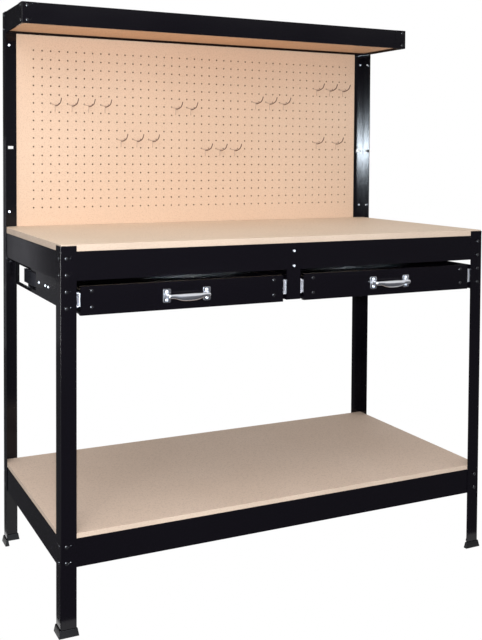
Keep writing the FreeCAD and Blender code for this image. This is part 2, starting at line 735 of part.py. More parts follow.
for drawer, drawer_sign in (("left", -1), ("right", 1)):
    outside_x = size("support_face")
    inside_x = size("channel_width") / 2
    box_holes = []
    box_screws = []
    for side in ("left", "right"):
        by_support = side == drawer
        towards = 1 if side == "left" else -1
        wall_text = f"{drawer_sign} * ({'support_face' if by_support else 'channel_width / 2'})"
        wall_x = drawer_sign * (outside_x if by_support else inside_x)
        carrier_wall = size("support_wall") if by_support else size("channel_wall")
        stem = f"{drawer}_drawer_{side}_slide"
        slide_part(stem + "_outer", wall_text, towards, "0",
                   "slide_thick - slide_wall - slide_throat", "(slide_rise / 2)", True)
        slide_part(stem + "_middle", wall_text, towards, "slide_wall + slide_fit",
                   "slide_thick - slide_wall - slide_throat / 2",
                   "(slide_rise / 2 - slide_wall - slide_fit)", True)
        slide_part(stem + "_inner", wall_text, towards, "slide_thick",
                   "2 * slide_wall + 2 * slide_fit",
                   "(slide_rise / 2 - 2 * slide_wall - 2 * slide_fit)", False)
        seat = wall_x - towards * carrier_wall
        tip = wall_x + towards * size("slide_wall")
        outer_holes = []
        for place in screw_places:
            slide_screws.append(stud("X", place, slide_height, tip, seat,
                                     seat - towards * size("screw_head_rise"), *screw_sizes))
            outer_holes.append(stud_hole("X", place, slide_height, size("screw_radius"), seat, tip))
        drilled(stem + "_outer", outer_holes)
        if by_support:
            support_holes[drawer].extend(outer_holes)
        else:
            channel_holes.extend(outer_holes)
        box_face = wall_x + towards * size("slide_thick")
        tip = box_face - towards * size("slide_wall")
        seat = box_face + towards * size("box_wall")
        inner_holes = []
        for place in box_screw_places:
            box_screws.append(stud("X", place, slide_height, tip, seat,
                                   seat + towards * size("screw_head_rise"), *screw_sizes))
            inner_holes.append(stud_hole("X", place, slide_height, size("screw_radius"), seat, tip))
        drilled(stem + "_inner", inner_holes)
        box_holes.extend(inner_holes)

    # The drawer: a tray with a hemmed rim behind a folded front
    middle_text = f"{drawer_sign} * drawer_middle"
    middle_x = drawer_sign * size("drawer_middle")
    tray = new_body(f"{drawer}_drawer_box", middle_text, "drawer_face + front_wall",
                    "drawer_bottom + front_wall + seat_gap")
    outer_half = "drawer_span / 2"
    inner_half = "(drawer_span / 2 - box_wall)"
    hem_half = "(drawer_span / 2 - box_wall - box_hem)"
    pad(tray, outlines(tray, "XY_Plane", [
        rectangle(f"-{outer_half}", "0", outer_half, "box_length")]), "box_rise")
    hollow = rectangle(f"-{inner_half}", "box_wall", inner_half, "box_length - box_wall")
    pocket(tray, outlines(tray, "XY_Plane", [hollow], "box_wall"), "box_rise", backwards=True)
    hem = rectangle(f"-{hem_half}", "box_wall + box_hem", hem_half,
                    "box_length - box_wall - box_hem")
    pad(tray, outlines(tray, "XY_Plane", [hollow, hem], "box_rise - box_wall"), "box_wall")
    drilled(f"{drawer}_drawer_box", box_holes)

    front = new_body(f"{drawer}_drawer_front", f"{middle_text} - drawer_span / 2", "drawer_face",
                     "drawer_bottom")
    pad(front, outlines(front, "YZ_Plane", [channel(1, "front_fold", "drawer_rise", "front_wall")]),
        "drawer_span")

    # The handle: two plates, two bent necks and a grip that swells in the middle
    plate_half = (size("handle_width") - size("plate_width")) / 2
    parts = []
    for side_sign in (-1, 1):
        plate = doc.addObject("Part::Box", f"{drawer}_handle_plate")
        link(plate, "Length", "plate_width")
        link(plate, "Width", "plate_wall")
        link(plate, "Height", "plate_rise")
        plate_x = f"{middle_text} + {side_sign} * (handle_width - plate_width) / 2"
        link(plate, "Placement.Base.x", f"{plate_x} - plate_width / 2")
        link(plate, "Placement.Base.y", "drawer_face - plate_wall")
        link(plate, "Placement.Base.z", "handle_middle - plate_rise / 2")
        parts.append(plate)
    bow = doc.addObject("Part::Feature", f"{drawer}_handle_bow")
    bow.Shape = handle_bow(middle_x)
    parts.append(bow)
    handle = doc.addObject("Part::MultiFuse", f"{drawer}_drawer_handle")
    handle.Shapes = parts
    NODES[f"{drawer}_drawer_handle"] = handle

    # Fasteners of the front and the handle
    face = size("drawer_face")
    plate_face = face - size("plate_wall")
    front_back = face + size("front_wall")
    front_holes = []
    front_studs = []
    for side_sign in (-1, 1):
        across = middle_x + side_sign * (size("drawer_span") / 2 - size("front_rivet_inset"))
        for step in (-0.5, 0.5):
            height = size("front_rivet_middle") + step * size("keyhole_pitch")
            front_studs.append(stud("Y", across, height, front_back, face,
                                    face - size("rivet_head_rise"), size("rivet_radius"),
                                    size("rivet_head_radius")))
            front_holes.append(stud_hole("Y", across, height, size("rivet_radius"), face,
                                         front_back))
    handle_holes = []
    handle_screws = []
    for side_sign in (-1, 1):
        across = middle_x + side_sign * plate_half
        for step in (-0.5, 0.5):
            height = size("handle_middle") + step * size("plate_screw_pitch")
            handle_screws.append(stud("Y", across, height, front_back, plate_face,
                                      plate_face - size("screw_head_rise"), *screw_sizes))
            hole = stud_hole("Y", across, height, size("screw_radius"), plate_face, front_back)
            handle_holes.append(hole)
            front_holes.append(hole)
    drilled(f"{drawer}_drawer_front", front_holes)
    drilled(f"{drawer}_drawer_handle", handle_holes)
    solids_node(f"{drawer}_drawer_fasteners", front_studs + box_screws)
    solids_node(f"{drawer}_handle_screws", handle_screws)

drilled("drawer_support_left", support_holes["left"])
drilled("drawer_support_right", support_holes["right"])
drilled("middle_channel", channel_holes)
solids_node("slide_screws", slide_screws)


# Pegboard: it lies behind the posts' rear flanges, with two jogged bars bolted behind it

peg_x = LEFT + size("peg_first_column")
peg_z = size("peg_first_row")
pitch = size("peg_pitch")


def hole_centre(column, row):
    """The centre of a pegboard hole. Row 0 is the lowest."""
    return peg_x + column * pitch, peg_z + row * pitch


across_board = size("bench_width") - size("peg_first_column") - size("peg_margin_side")
up_board = size("peg_top") - size("peg_margin_top") - size("peg_first_row")
columns = int(across_board / pitch) + 1
rows = int(up_board / pitch) + 1

# Hooks in their rows of holes. Those of the left part count columns from the left end, and
# those of the right part from the right end.
left_hooks = {12: (2, 4, 6, 8, 17, 19), 8: (10, 12, 14), 7: (21, 23, 25)}
right_hooks = {13: (14, 12, 10), 15: (5, 3, 1), 8: (5, 2)}
hooks = [(column, row) for row, places_along in left_hooks.items() for column in places_along]
hooks += [(columns - 1 - column, row) for row, places_along in right_hooks.items()
          for column in places_along]

panel = new_body("pegboard", "-half_width + peg_inset", "rear_plane", "peg_bottom")
pad(panel, outlines(panel, "XZ_Plane", [
    rectangle("0", "0", "bench_width - 2 * peg_inset", "peg_top - peg_bottom")]),
    "peg_thick", backwards=True)

# The solid board has every third column and second row, and the holes that the hooks hang in
pattern = {(column, row) for column in range(0, columns, 3) for row in range(0, rows, 2)}
back_of_board = REAR + size("peg_thick")
peg_holes = []
for column, row in sorted(pattern | set(hooks)):
    across, along = hole_centre(column, row)
    peg_holes.append(prism("Y", ring(across, along, size("peg_hole_radius"), 4), REAR,
                           back_of_board))
drilled("pegboard", peg_holes)

peg_bolts = []
for name, level in (("pegboard_bar_lower", "peg_rail_low"), ("pegboard_bar_upper", "peg_rail_high")):
    bar = new_body(name, "0", "rear_plane", f"{level} - peg_rail_rise / 2")
    end = "(half_width - leg_wall)"
    jog = "(half_width - peg_inset + seat_gap)"
    jog_inner = f"({jog} + peg_rail_wall)"
    half_plan = [(jog, "peg_thick"), (jog, "0"), (end, "0"), (end, "peg_rail_wall"),
                 (jog_inner, "peg_rail_wall"), (jog_inner, "peg_back")]
    mirrored = [(f"-{across}", along) for across, along in reversed(half_plan)]
    pad(bar, outlines(bar, "XY_Plane", [half_plan + mirrored]), "peg_rail_rise")
    bar_holes = []
    for outer_x, inward in ((LEFT, 1), (RIGHT, -1)):
        across = outer_x + inward * size("peg_bolt_inset")
        face = REAR - size("leg_wall")
        back = REAR + size("peg_rail_wall")
        bolt = stud("Y", across, size(level), back, face, face - size("bolt_head_rise"),
                    size("bolt_radius"), size("bolt_head_radius"))
        nut = prism("Y", ring(across, size(level), size("nut_radius"), 6), back,
                    back + size("nut_rise"))
        peg_bolts.append(bolt.fuse(nut))
        bar_holes.append(stud_hole("Y", across, size(level), size("bolt_radius"), REAR, back))
    drilled(name, bar_holes)
solids_node("pegboard_bolts", peg_bolts)


# Wire hooks: a root in the hole, a dipped bar along the board, a stem down it and a curved arm

def hook_at(column, row):
    across, along = hole_centre(column, row)
    stand_off = size("hook_wire") / 2 + size("seat_gap")
    reach = size("hook_reach")

    def place(right, forward, up):
        return FreeCAD.Vector(across + right, REAR - forward, along + up)

    arm = wire([place(0, -size("peg_thick"), 0), place(0, stand_off, 0),
                place(pitch / 2, stand_off, -0.16 * pitch), place(pitch, stand_off, 0),
                place(1.04 * pitch, 0.45 * reach, -0.04 * pitch),
                place(1.08 * pitch, 0.82 * reach, 0.12 * pitch),
                place(1.12 * pitch, reach, 0.56 * pitch)], size("hook_wire") / 2, 4)
    stem = wire([place(pitch / 2, stand_off, -0.16 * pitch), place(pitch / 2, stand_off, -pitch)],
                size("hook_wire") / 2, 4)
    return arm.fuse(stem)


solids_node("pegboard_hooks", [hook_at(column, row) for column, row in hooks])


# Check every object and every node before anything is written

doc.recompute()
failed = [item.Name for item in doc.Objects
          if "Invalid" in item.State or "Error" in item.State]
assert not failed, failed
for cut in CUTS:
    removed = cut.BaseFeature.Shape.Volume - cut.Shape.Volume
    assert removed > 1, f"{cut.Label} cuts nothing"
for name, node in NODES.items():
    assert node.Label == name, name
    assert not node.Shape.isNull() and node.Shape.isValid() and node.Shape.Volume > 0, name

os.makedirs("parts", exist_ok=True)
for name, node in sorted(NODES.items()):
    node.Shape.exportStep(f"parts/{name}.step")
    facets = len(node.Shape.tessellate(0.4)[1])
    print(f"{name:32s} {len(node.Shape.Solids):3d} solids {facets:6d} facets")
print(len(NODES), "nodes")
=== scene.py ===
# %% [markdown]
# # A workbench with a pegboard, dressed in Blender
#
# The bench's solids are already built to size. This lesson gives them their looks: black powder
# coat with a little orange peel, pale particle board, drilled hardboard, zinc and chrome.
# It also models the pieces whose curves the plain solids only hint at: folds and edges, the
# pegboard with all its holes, the hooks, the handles, the rivets, the bolts and the screws.
#
# Everything is in metres, with X to the right, Y to the back and Z up.

# %% Load the bench
import json
import math
import bmesh
import bpy
from mathutils import Matrix, Vector

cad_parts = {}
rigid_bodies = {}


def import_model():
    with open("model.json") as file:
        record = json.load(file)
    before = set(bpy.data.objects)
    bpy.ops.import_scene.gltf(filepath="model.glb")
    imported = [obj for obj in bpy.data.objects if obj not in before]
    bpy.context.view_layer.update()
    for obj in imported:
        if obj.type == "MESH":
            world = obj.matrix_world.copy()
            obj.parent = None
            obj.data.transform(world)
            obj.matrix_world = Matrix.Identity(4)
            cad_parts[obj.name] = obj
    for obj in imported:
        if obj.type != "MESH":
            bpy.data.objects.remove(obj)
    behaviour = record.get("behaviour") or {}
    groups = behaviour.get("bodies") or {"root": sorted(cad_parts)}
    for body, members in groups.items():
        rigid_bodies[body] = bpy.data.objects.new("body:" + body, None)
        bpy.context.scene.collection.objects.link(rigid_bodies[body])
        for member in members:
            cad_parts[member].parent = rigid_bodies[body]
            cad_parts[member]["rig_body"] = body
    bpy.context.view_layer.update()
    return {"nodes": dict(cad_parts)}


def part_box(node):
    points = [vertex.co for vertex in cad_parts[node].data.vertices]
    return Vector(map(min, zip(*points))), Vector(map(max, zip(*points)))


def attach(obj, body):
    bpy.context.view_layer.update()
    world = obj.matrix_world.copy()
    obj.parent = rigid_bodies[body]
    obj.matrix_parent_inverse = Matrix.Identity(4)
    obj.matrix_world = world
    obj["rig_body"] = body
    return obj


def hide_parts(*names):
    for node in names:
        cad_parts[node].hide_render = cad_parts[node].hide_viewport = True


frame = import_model()
nodes = frame["nodes"]
scene = bpy.context.scene

# %% [markdown]
# ## Sizes read from the bench
#
# A dressed piece has to sit where the plain one does. Its place could be typed in again, but it
# would be left behind when the bench changes. So places are read from the nodes' boxes and
# corners, and only what they don't show is written down, where it is needed.

# %% Measure the bench
def low(node):
    return Vector(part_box(node)[0])


def high(node):
    return Vector(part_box(node)[1])


LEFT_FACE = low("rear_post_left").x
RIGHT_FACE = high("rear_post_right").x
FRONT_FACE = low("front_leg_left").y
REAR_FACE = high("rear_post_left").y
print("frame", round(RIGHT_FACE - LEFT_FACE, 3), "by", round(REAR_FACE - FRONT_FACE, 3))

# %% [markdown]
# ## The camera
#
# The view is from in front of the left end, a little above the worktop, with the picture's
# middle well below the lens axis. A camera tilted down would frame the bench too, but the
# uprights would lean. A shift of the lens keeps them upright, as they are in the photograph.

# %% Place the camera
PHOTO_WIDTH = 482
PHOTO_HEIGHT = 640
FOCAL_PIXELS = 938.5
AXIS_PIXEL = (238.1, 190.4)

camera_data = bpy.data.cameras.new("camera")
camera = bpy.data.objects.new("camera", camera_data)
scene.collection.objects.link(camera)
camera_data.sensor_width = 36.0
camera_data.lens = FOCAL_PIXELS / PHOTO_HEIGHT * camera_data.sensor_width
camera_data.shift_x = (PHOTO_WIDTH / 2 - AXIS_PIXEL[0]) / PHOTO_HEIGHT
camera_data.shift_y = -(PHOTO_HEIGHT / 2 - AXIS_PIXEL[1]) / PHOTO_HEIGHT
camera_data.clip_end = 100

right = Vector((0.89902, -0.43787, 0.00602))
down = Vector((-0.01024, -0.03477, -0.99934))
forward = Vector((0.43780, 0.89836, -0.03574))
turn = Matrix((right, -down, -forward)).transposed()
camera_place = Vector((-1.1695, -2.3641, 1.1044))
camera.matrix_world = Matrix.Translation(camera_place) @ turn.to_4x4()
scene.camera = camera
print("lens", round(camera_data.lens, 1), "mm")

# %% [markdown]
# ## Helpers for nodes
#
# The world and every finish are small trees of nodes. They could be wired by hand in the shader
# editor, but helpers that add a node and fill its inputs keep each tree short enough to read.
# Patterns read Object coordinates, so they stay on the bench when a drawer opens.

# %% Node helpers
WHITE = (1, 1, 1, 1)
MIX_COLOR_A = 6
MIX_COLOR_B = 7
MIX_COLOR_RESULT = 2


def new_material(name):
    material = bpy.data.materials.new(name)
    material.use_nodes = True
    material.node_tree.nodes.clear()
    return material, material.node_tree


def put(tree, node, name, value):
    """An input, by name or number, gets a link from a socket or a plain value."""
    if isinstance(value, bpy.types.NodeSocket):
        tree.links.new(value, node.inputs[name])
    else:
        node.inputs[name].default_value = value


def add(tree, kind, settings=None, **inputs):
    """A node of this kind, with its settings and its inputs by name."""
    node = tree.nodes.new("ShaderNode" + kind)
    for key, value in (settings or {}).items():
        setattr(node, key, value)
    for key, value in inputs.items():
        put(tree, node, key.replace("_", " "), value)
    return node


def mixed(tree, share, below, above):
    """A colour between two others, each a socket or a plain colour."""
    mix = add(tree, "Mix", {"data_type": "RGBA"}, Factor=share)
    put(tree, mix, MIX_COLOR_A, below)
    put(tree, mix, MIX_COLOR_B, above)
    return mix.outputs[MIX_COLOR_RESULT]


def finish_with(tree, shader, output="OutputMaterial"):
    add(tree, output, Surface=shader.outputs[0])


def white_to_see(tree, ordinary, white):
    """White to the camera, in mirrors and through glass, and ordinary to every other ray."""
    path = add(tree, "LightPath")
    seen = path.outputs["Is Camera Ray"]
    for ray in ("Is Glossy Ray", "Is Transmission Ray"):
        either = add(tree, "Math", {"operation": "MAXIMUM"})
        put(tree, either, 0, seen)
        put(tree, either, 1, path.outputs[ray])
        seen = either.outputs[0]
    choice = add(tree, "MixShader", Fac=seen)
    put(tree, choice, 1, ordinary.outputs[0])
    put(tree, choice, 2, white.outputs[0])
    return choice


def start_group(name, outputs, **inputs):
    """A shader node group. Its inputs are plain numbers unless a default is a colour."""
    group = bpy.data.node_groups.new(name, "ShaderNodeTree")
    group.interface.new_socket("Vector", in_out="INPUT", socket_type="NodeSocketVector")
    for key, value in inputs.items():
        kind = "NodeSocketColor" if isinstance(value, tuple) else "NodeSocketFloat"
        group.interface.new_socket(key, in_out="INPUT", socket_type=kind).default_value = value
    for key, kind in outputs.items():
        group.interface.new_socket(key, in_out="OUTPUT", socket_type=kind)
    return group, group.nodes.new("NodeGroupInput"), group.nodes.new("NodeGroupOutput")


print("node helpers ready")

# %% [markdown]
# ## The studio
#
# The bench stands in a white room with no horizon. More light would make the room white, but it
# would bleach the bench too. So the world gives a plain, weak light, and only the rays that see
# it, straight or in a mirror, find it pure white.
#
# A small lamp just above the lens does what a flash does: it draws the sharp highlights, and it
# comes straight back from the inner corner of the rear post. A second lamp in the same place
# only glints, and so does a tall strip on the left. Neither lights a matt surface. Near the end
# the glint is linked to the steel, the feet and the bright metal, and the strip to the front
# legs and the middle channel with its bolts. Two large soft lamps fill in.

# %% Light the studio
ROOM_LIGHT = 0.45
FLASH_RISE = 0.065
STRIP_LENGTH = 1.3

scene.view_settings.view_transform = "Standard"
world = bpy.data.worlds.new("studio")
scene.world = world
world.use_nodes = True
room = world.node_tree
room.nodes.clear()
plain = add(room, "Background", Color=WHITE, Strength=ROOM_LIGHT)
bright = add(room, "Background", Color=WHITE, Strength=1.0)
finish_with(room, white_to_see(room, plain, bright), "OutputWorld")


def area_lamp(name, position, target, size, watts):
    lamp_data = bpy.data.lights.new(name, "AREA")
    lamp_data.size = size
    lamp_data.energy = watts
    lamp = bpy.data.objects.new(name, lamp_data)
    scene.collection.objects.link(lamp)
    lamp.location = position
    lamp.rotation_euler = (Vector(target) - Vector(position)).to_track_quat("-Z", "Y").to_euler()
    return lamp


flash_place = camera_place + Vector((0, 0, FLASH_RISE))
area_lamp("flash", flash_place, (0, 0, 0.8), size=0.07, watts=40)
glint = area_lamp("flash_glint", flash_place, (0, 0, 0.8), size=0.09, watts=260)
glint.data.color = (0.76, 0.88, 1.0)
glint.visible_diffuse = False
strip = area_lamp("side_strip", (-3.1, -2.4, 0.65), (-0.5, -0.3, 0.7), size=0.4, watts=110)
strip.data.shape = "RECTANGLE"
strip.data.size_y = STRIP_LENGTH
strip.visible_diffuse = False
area_lamp("front_softbox", (-2.4, -3.2, 2.8), (0, 0, 0.9), size=1.8, watts=40)
area_lamp("top_softbox", (-1.2, -1.2, 3.0), (-0.2, 0, 0.9), size=1.8, watts=22)

# %% [markdown]
# ## Speckle, a shared effect
#
# Pressed wood board shows fine chips, darker than the glue around them, with soft lighter
# patches where the surface was sanded more. A picture of a board could be wrapped round each
# piece, but two layers of noise need no picture and have no seam. The worktop, the shelves, the
# pegboard and the sawn edges all use them, each with its own sizes, so they are one node group.

# %% Speckle group
speckle, inside, outside = start_group(
    "speckle", {"Color": "NodeSocketColor", "Height": "NodeSocketFloat"},
    Base=(0.8, 0.6, 0.4, 1), Light=(0.9, 0.7, 0.5, 1), Dark=(0.6, 0.4, 0.3, 1),
    Grain=900.0, Patch=3.0)
chips = add(speckle, "TexNoise", Vector=inside.outputs["Vector"],
            Scale=inside.outputs["Grain"], Detail=3.0, Roughness=0.7)
patches = add(speckle, "TexNoise", Vector=inside.outputs["Vector"],
              Scale=inside.outputs["Patch"], Detail=2.0, Roughness=0.5)
dark_share = add(speckle, "MapRange", Value=chips.outputs["Fac"], From_Min=0.50,
                 From_Max=0.36, To_Max=0.55)
light_share = add(speckle, "MapRange", Value=patches.outputs["Fac"], From_Min=0.35,
                  From_Max=0.70)
lightened = mixed(speckle, light_share.outputs["Result"], inside.outputs["Base"],
                  inside.outputs["Light"])
darkened = mixed(speckle, dark_share.outputs["Result"], lightened, inside.outputs["Dark"])
put(speckle, outside, "Color", darkened)
put(speckle, outside, "Height", chips.outputs["Fac"])
print("speckle group", len(speckle.nodes), "nodes")

# %% [markdown]
# ## Black powder coat
#
# The steel is black and glossy. Powder coat dries with an orange peel: a shallow ripple one or
# two millimetres wide, which softens each reflection. The ripple could be modelled, but it is
# too fine for a mesh, so a bump draws it. A slow change of roughness keeps the large flat rails
# from looking like glass. The feet and the rivets have rougher finishes of the same kind.

# %% Powder coat
def uneven(tree, pattern, middle, spread):
    """A roughness that follows a pattern, by up to this share above and below its middle."""
    rough = add(tree, "MapRange", Value=pattern.outputs["Fac"], To_Min=middle * (1 - spread),
                To_Max=middle * (1 + spread))
    return rough.outputs["Result"]


def powder_coat(name, base, roughness, ripple, gloss):
    material, tree = new_material(name)
    where = add(tree, "TexCoord")
    peel = add(tree, "TexNoise", Vector=where.outputs["Object"], Scale=600.0, Detail=2.0)
    cloud = add(tree, "TexNoise", Vector=where.outputs["Object"], Scale=6.0, Detail=3.0)
    bump = add(tree, "Bump", Strength=ripple, Distance=0.0002, Height=peel.outputs["Fac"])
    shader = add(tree, "BsdfPrincipled", Base_Color=base, Specular_IOR_Level=gloss,
                 Roughness=uneven(tree, cloud, roughness, 0.3), Normal=bump.outputs["Normal"])
    finish_with(tree, shader)
    return material


black_coat = powder_coat("black_powder_coat", (0.0026, 0.0020, 0.0040, 1), 0.13, 0.05, 0.30)
foot_plastic = powder_coat("foot_plastic", (0.0035, 0.0033, 0.0040, 1), 0.38, 0.3, 0.2)
# Greyer than the frame: the rivets' own coat, and a painted highlight on the keyhole rims that
# take it.
rivet_coat_and_rim_highlight = powder_coat("rivet_coat_and_rim_highlight", (0.010, 0.0095, 0.012, 1), 0.27, 0.10, 0.4)
print("steel, plastic and rivet finishes ready")

# %% [markdown]
# ## Bare boards
#
# The worktop and the shelves are particle board with a sanded face. The pegboard is hardboard,
# which is smoother, so its speckle is finer. One colour for all would do from far off, but each
# board has its own tone in the photograph. The upper shelf is seen only from below, and its
# darker, browner tone is painted shade. A sawn edge shows the chips inside the board, and
# the pores between them make it darker and rougher.

# %% Board finishes
def board_finish(name, base, light, dark, grain, patch, roughness, relief):
    material, tree = new_material(name)
    where = add(tree, "TexCoord")
    pattern = add(tree, "Group", {"node_tree": speckle}, Vector=where.outputs["Object"],
                  Base=base, Light=light, Dark=dark, Grain=grain, Patch=patch)
    bump = add(tree, "Bump", Strength=relief, Distance=0.0003, Height=pattern.outputs["Height"])
    shader = add(tree, "BsdfPrincipled", Base_Color=pattern.outputs["Color"],
                 Roughness=roughness, Specular_IOR_Level=0.3, Normal=bump.outputs["Normal"])
    finish_with(tree, shader)
    return material


worktop_board = board_finish("worktop_board", (0.77, 0.625, 0.485, 1), (0.81, 0.665, 0.525, 1),
                             (0.52, 0.40, 0.30, 1), 260.0, 2.5, 0.6, 0.25)
lower_board = board_finish("lower_board", (0.71, 0.545, 0.43, 1), (0.75, 0.585, 0.47, 1),
                           (0.50, 0.37, 0.29, 1), 260.0, 3.0, 0.65, 0.25)
# The upper shelf's darker, browner tone is painted shade on its underside.
upper_board_painted_shade = board_finish("upper_board_painted_shade", (0.66, 0.41, 0.25, 1), (0.70, 0.44, 0.27, 1),
                           (0.44, 0.27, 0.16, 1), 260.0, 4.0, 0.65, 0.25)
peg_board = board_finish("peg_board", (0.73, 0.53, 0.39, 1), (0.77, 0.575, 0.435, 1),
                         (0.56, 0.38, 0.26, 1), 330.0, 1.5, 0.6, 0.15)
sawn_edge = board_finish("sawn_edge", (0.57, 0.455, 0.365, 1), (0.63, 0.51, 0.41, 1),
                         (0.34, 0.25, 0.18, 1), 420.0, 6.0, 0.8, 0.5)
print("board finishes ready")

# %% [markdown]
# ## Bright metal
#
# The slides, the bolts and the screws are zinc plated and a little streaky. They could share
# one finish, but plating differs from piece to piece: pale slides, softly shining bolts and
# brighter screws. One outer slide member lies in shade behind the left support's window, so it
# gets a near-black copy of the zinc: painted shade.
# The handles are chromed and mirror the white room.

# %% Bright metals
def bright_metal(name, base, roughness, streak, metallic=1.0):
    material, tree = new_material(name)
    where = add(tree, "TexCoord")
    stretch = add(tree, "Mapping", Vector=where.outputs["Object"], Scale=(1.0, 0.06, 1.0))
    grain = add(tree, "TexNoise", Vector=stretch.outputs["Vector"], Scale=900.0, Detail=3.0)
    bump = add(tree, "Bump", Strength=0.1, Distance=0.0001, Height=grain.outputs["Fac"])
    shader = add(tree, "BsdfPrincipled", Base_Color=base, Metallic=metallic,
                 Roughness=uneven(tree, grain, roughness, streak),
                 Normal=bump.outputs["Normal"])
    finish_with(tree, shader)
    return material


# A near-black copy of the zinc: painted shade on the outer slide member behind the left window.
zinc_painted_shade = bright_metal("zinc_painted_shade", (0.10, 0.10, 0.13, 1), 0.30, 0.3)
slide_zinc = bright_metal("slide_zinc", (0.86, 0.85, 0.88, 1), 0.36, 0.4, 0.6)
bolt_zinc = bright_metal("bolt_zinc", (0.86, 0.87, 0.90, 1), 0.52, 0.3)
zinc = bright_metal("bright_zinc", (0.76, 0.79, 0.86, 1), 0.38, 0.4)
chrome = bright_metal("polished_chrome", (0.66, 0.67, 0.71, 1), 0.18, 0.4)
print("metals ready")

# %% [markdown]
# ## Hook wire
#
# The hooks are thin plated wire that mirrors the board behind it. So they look pale brown
# against the board and dark where they stand out from it. A real mirror finish only flickers on
# a wire a few pixels wide. So the two tones are painted reflections: two satin finishes, made as
# the powder coat is, carry them in their colours and keep them steady.

# %% Hook wire
# Painted reflections: pale brown for the board the wire mirrors, dark brown where it stands out
# from the board.
wire_painted_board_reflection = powder_coat("hook_wire_painted_board_reflection", (0.56, 0.42, 0.33, 1), 0.5, 0.05, 0.3)
wire_painted_dark_reflection = powder_coat("hook_wire_painted_dark_reflection", (0.16, 0.10, 0.075, 1), 0.4, 0.05, 0.4)
print("hook wire ready")

# %% [markdown]
# ## Shade inside a drilled hole
#
# A drilled hole is dark brown: little light reaches its wall. But the white room shows through
# the board's holes, from in front as from behind. A matt disc of that brown half-way down each
# hole keeps it dark from every side. This is the disc's finish.

# %% Hole shade
hole_shade, tree = new_material("hole_shade")
where = add(tree, "TexCoord")
grain = add(tree, "TexNoise", Vector=where.outputs["Object"], Scale=40.0, Detail=2.0)
tone = mixed(tree, grain.outputs["Fac"], (0.055, 0.030, 0.018, 1), (0.110, 0.060, 0.038, 1))
matt = add(tree, "BsdfPrincipled", Base_Color=tone, Roughness=0.9)
finish_with(tree, matt)
print("hole shade ready")

# %% [markdown]
# ## Give every node its finish
#
# A node keeps its shape and place. Only the material in its slot changes. Each finish could be
# handed out by hand, but the nodes' names already say what each is made of. A plain name for
# the stuff comes with each finish.

# %% Dress the nodes
SHADED_SLIDE = "left_drawer_left_slide_outer"
BOARDS = {"worktop": (worktop_board, "particle_board"),
          "lower_shelf": (lower_board, "particle_board"),
          "upper_shelf_board": (upper_board_painted_shade, "particle_board"),
          "pegboard": (peg_board, "hardboard")}


def look_of(name):
    """The finish of a node and the name of its slot."""
    if name in BOARDS:
        return BOARDS[name]
    if name.startswith("foot_"):
        return foot_plastic, "foot_plastic"
    if name == "pegboard_hooks":
        return wire_painted_board_reflection, "zinc_wire"
    if name.endswith("_handle"):
        return chrome, "chrome"
    if name.endswith("_screws"):
        return zinc, "bright_screw"
    if name.endswith("_bolts"):
        return zinc, "zinc_steel"
    if "_slide_" in name:
        return (zinc_painted_shade if name == SHADED_SLIDE else slide_zinc), "zinc_steel"
    return black_coat, "black_steel"


def finish_for(name):
    return look_of(name)[0]


for name, node in nodes.items():
    finish = finish_for(name)
    if not node.data.materials:
        node.data.materials.append(finish)
    for index in range(len(node.data.materials)):
        node.data.materials[index] = finish
print("dressed", len(nodes), "nodes")

# %% [markdown]
# ## Helpers for modelling
#
# Every piece below starts as something simple and is finished with the usual tools, as by hand.
# A tool works on all that is chosen, so the first helper makes that choice. The last one settles
# a finished piece: it takes its finish, rides on its body and stands for its node.

# %% Modelling helpers
WELD = 0.00001
UP = Vector((0, 0, 1))


def pick(*things):
    """Only these objects are chosen, and the last of them is the active one."""
    bpy.ops.object.select_all(action="DESELECT")
    for thing in things:
        thing.select_set(True)
    bpy.context.view_layer.objects.active = things[-1]


def linked(name, data):
    """A new object with this data, chosen and active."""
    thing = bpy.data.objects.new(name, data)
    scene.collection.objects.link(thing)
    pick(thing)
    return thing


def modify(piece, kind, **settings):
    """One modifier with these settings, applied at once."""
    pick(piece)
    step = piece.modifiers.new(kind.lower(), kind)
    for key, value in settings.items():
        setattr(step, key, value)
    bpy.ops.object.modifier_apply(modifier=step.name)


def select_edges(piece, test):
    """In edit mode, only the edges that pass the test are chosen."""
    bpy.ops.mesh.select_mode(type="EDGE")
    bpy.ops.mesh.select_all(action="DESELECT")
    edit = bmesh.from_edit_mesh(piece.data)
    for edge in edit.edges:
        if test(edge):
            edge.select_set(True)
    bmesh.update_edit_mesh(piece.data)


def smooth(piece, degrees):
    pick(piece)
    bpy.ops.object.shade_smooth_by_angle(angle=math.radians(degrees))


def outward(piece):
    pick(piece)
    bpy.ops.object.mode_set(mode="EDIT")
    bpy.ops.mesh.select_all(action="SELECT")
    bpy.ops.mesh.normals_make_consistent(inside=False)
    bpy.ops.object.mode_set(mode="OBJECT")


def block(size, place, turn=0):
    """A box of this size about a place, turned about Z."""
    bpy.ops.object.select_all(action="DESELECT")
    bpy.ops.mesh.primitive_cube_add(size=1, location=place, rotation=(0, 0, turn))
    piece = bpy.context.active_object
    piece.scale = size
    bpy.ops.object.transform_apply(location=True, rotation=True, scale=True)
    return piece


def turned_to(facing):
    """The turn that makes what points up face this way."""
    return UP.rotation_difference(facing).to_matrix().to_4x4()


def joined(pieces):
    """These pieces as one. The last of them takes in the others."""
    pick(*pieces)
    if len(pieces) > 1:
        bpy.ops.object.join()
    return pieces[-1]


def settle(piece, node, finish=None):
    """The finished piece takes its finish, rides on the node's body and stands for it."""
    piece.name = "dressed_" + node
    if finish:
        piece.data.materials.clear()
        piece.data.materials.append(finish)
    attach(piece, nodes[node]["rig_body"])
    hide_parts(node)
    return piece


print("modelling helpers ready")

